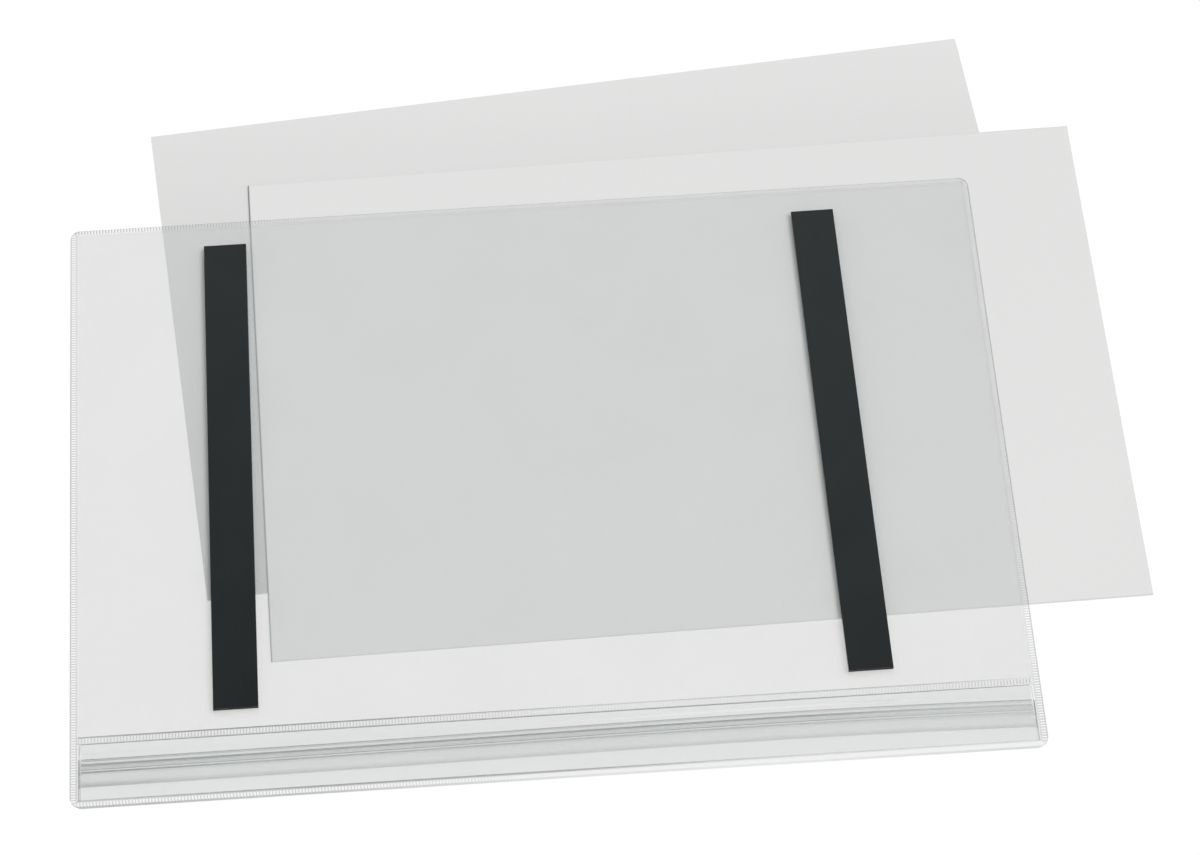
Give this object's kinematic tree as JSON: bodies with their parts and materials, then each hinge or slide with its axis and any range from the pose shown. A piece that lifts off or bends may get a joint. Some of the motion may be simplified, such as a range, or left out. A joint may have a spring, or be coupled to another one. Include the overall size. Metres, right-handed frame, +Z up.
{
  "type": "magnetic poster pocket",
  "caption": "Clear film pocket for a landscape poster, with welded edges, a press-to-close zip, magnetic strips on its back and blank insert sheets lying loose under it.",
  "frame": {"origin": "on the surface that the set lies on, under the middle of the pocket", "axes": "+X along the zip, +Y from the zip to the closed top edge, +Z up, out of the pocket's back, the way the magnetic strips face"},
  "size_m": [0.3642, 0.315, 0.0039],
  "materials": {
    "clear_film": "clear soft PVC film, glossy",
    "welded_film": "clear soft PVC, fused and finely ridged",
    "zip_plastic": "clear soft PVC extrusion",
    "magnet_rubber": "matt black magnetic rubber",
    "adhesive_tape": "double-sided adhesive tape",
    "card": "blank off-white card, matt"
  },
  "bodies": {
    "pocket": {"front_panel": "clear_film", "back_panel": "clear_film", "top_weld": "welded_film", "left_weld": "welded_film", "right_weld": "welded_film", "bottom_weld": "welded_film", "zip_weld": "welded_film", "zip_inner_strip": "zip_plastic", "left_adhesive_tape": "adhesive_tape", "right_adhesive_tape": "adhesive_tape", "left_magnet_strip": "magnet_rubber", "right_magnet_strip": "magnet_rubber"},
    "zip_flap": {"zip_outer_strip": "zip_plastic"},
    "upper_sheet": {"upper_insert_sheet": "card"},
    "lower_sheet": {"lower_insert_sheet": "card"}
  },
  "joints": [
    {"name": "zip_flap_lift", "type": "hinge", "parent": "pocket", "child": "zip_flap", "pos_m": [0, -0.099, 0.0022], "axis": [-1, 0, 0], "range_deg": [0, 90]},
    {"name": "upper_sheet_slide", "type": "slide", "parent": "pocket", "child": "upper_sheet", "axis": [-0.0162, 0.9999, 0], "range_m": [-0.07, 0.2]},
    {"name": "lower_sheet_slide", "type": "slide", "parent": "pocket", "child": "lower_sheet", "axis": [-0.0819, 0.9966, 0], "range_m": [-0.07, 0.18]}
  ]
}
